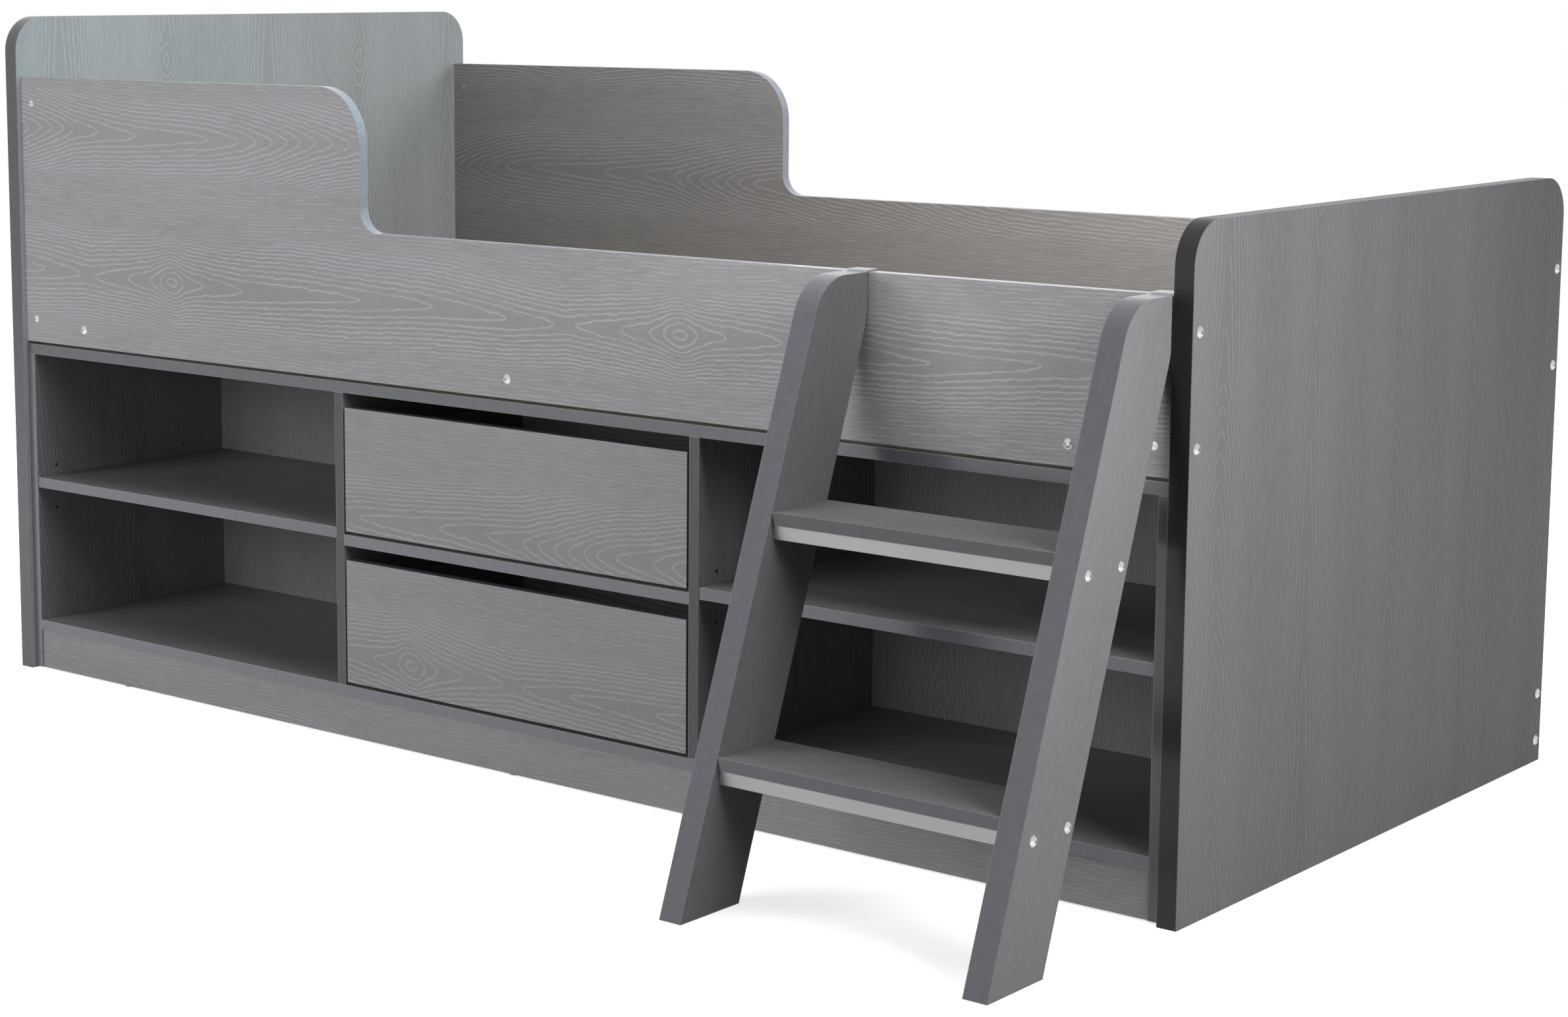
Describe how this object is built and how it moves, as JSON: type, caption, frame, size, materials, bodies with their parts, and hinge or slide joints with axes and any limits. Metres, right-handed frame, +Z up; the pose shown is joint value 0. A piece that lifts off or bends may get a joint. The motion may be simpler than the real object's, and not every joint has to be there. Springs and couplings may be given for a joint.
{
  "type": "low sleeper bed",
  "caption": "Low sleeper bed in grey limed-wood boards with a guard rail, a shelf and drawer cabinet under the mattress base, and a hook-on ladder.",
  "frame": {"origin": "on the floor, in the middle of the bounding box", "axes": "+X to the foot end, -Y to the ladder side, +Z up"},
  "size_m": [1.9668, 1.284, 0.967],
  "materials": {
    "grey_foil_board": "matt grey wood-grain foil with slate edge band",
    "pine": "planed bare pine",
    "zinc_steel": "bright zinc plate",
    "silver_bar": "satin silver anodised",
    "grey_foil_hardboard": "grey wood-grain foil",
    "white_plastic": "matt moulded plastic"
  },
  "bodies": {
    "bed": {"head_end_panel": "grey_foil_board", "foot_end_panel": "grey_foil_board", "front_side_rail": "grey_foil_board", "back_side_rail": "grey_foil_board", "back_lower_stretcher": "grey_foil_board", "front_slat_batten": "pine", "back_slat_batten": "pine", "slats": "pine", "slat_screws": "zinc_steel", "frame_bolts": "zinc_steel", "frame_barrel_nuts": "zinc_steel", "batten_bolts": "zinc_steel", "batten_nuts": "zinc_steel", "cabinet_top": "grey_foil_board", "cabinet_bottom": "grey_foil_board", "cabinet_left_side": "grey_foil_board", "cabinet_right_side": "grey_foil_board", "cabinet_left_divider": "grey_foil_board", "cabinet_right_divider": "grey_foil_board", "left_shelf": "grey_foil_board", "right_shelf": "grey_foil_board", "drawer_shelf": "grey_foil_board", "cabinet_front_plinth": "grey_foil_board", "cabinet_rear_plinth": "grey_foil_board", "cabinet_back_panel": "grey_foil_hardboard", "shelf_pins": "zinc_steel", "cabinet_screws": "zinc_steel", "drawer_shelf_dowels": "pine", "floor_glides": "white_plastic", "lower_drawer_runners": "white_plastic", "upper_drawer_runners": "white_plastic", "runner_screws": "zinc_steel"},
    "lower_drawer": {"lower_drawer_front": "grey_foil_board", "lower_drawer_left_side": "grey_foil_board", "lower_drawer_right_side": "grey_foil_board", "lower_drawer_back": "grey_foil_board", "lower_drawer_base": "grey_foil_hardboard", "lower_drawer_corner_blocks": "white_plastic", "lower_drawer_screws": "zinc_steel"},
    "upper_drawer": {"upper_drawer_front": "grey_foil_board", "upper_drawer_left_side": "grey_foil_board", "upper_drawer_right_side": "grey_foil_board", "upper_drawer_back": "grey_foil_board", "upper_drawer_base": "grey_foil_hardboard", "upper_drawer_corner_blocks": "white_plastic", "upper_drawer_screws": "zinc_steel"},
    "ladder": {"left_ladder_stringer": "grey_foil_board", "right_ladder_stringer": "grey_foil_board", "lower_tread": "grey_foil_board", "upper_tread": "grey_foil_board", "lower_tread_bars": "silver_bar", "upper_tread_bars": "silver_bar", "tread_screws": "zinc_steel", "ladder_bolts": "zinc_steel", "ladder_hooks": "zinc_steel", "hook_screws": "zinc_steel"}
  },
  "joints": [
    {"name": "lower_drawer_slide", "type": "slide", "parent": "bed", "child": "lower_drawer", "axis": [0, -1, 0], "range_m": [0, 0.25]},
    {"name": "upper_drawer_slide", "type": "slide", "parent": "bed", "child": "upper_drawer", "axis": [0, -1, 0], "range_m": [0, 0.25]},
    {"name": "ladder_lift", "type": "slide", "parent": "bed", "child": "ladder", "axis": [0, 0, 1], "range_m": [0, 0.06]}
  ]
}
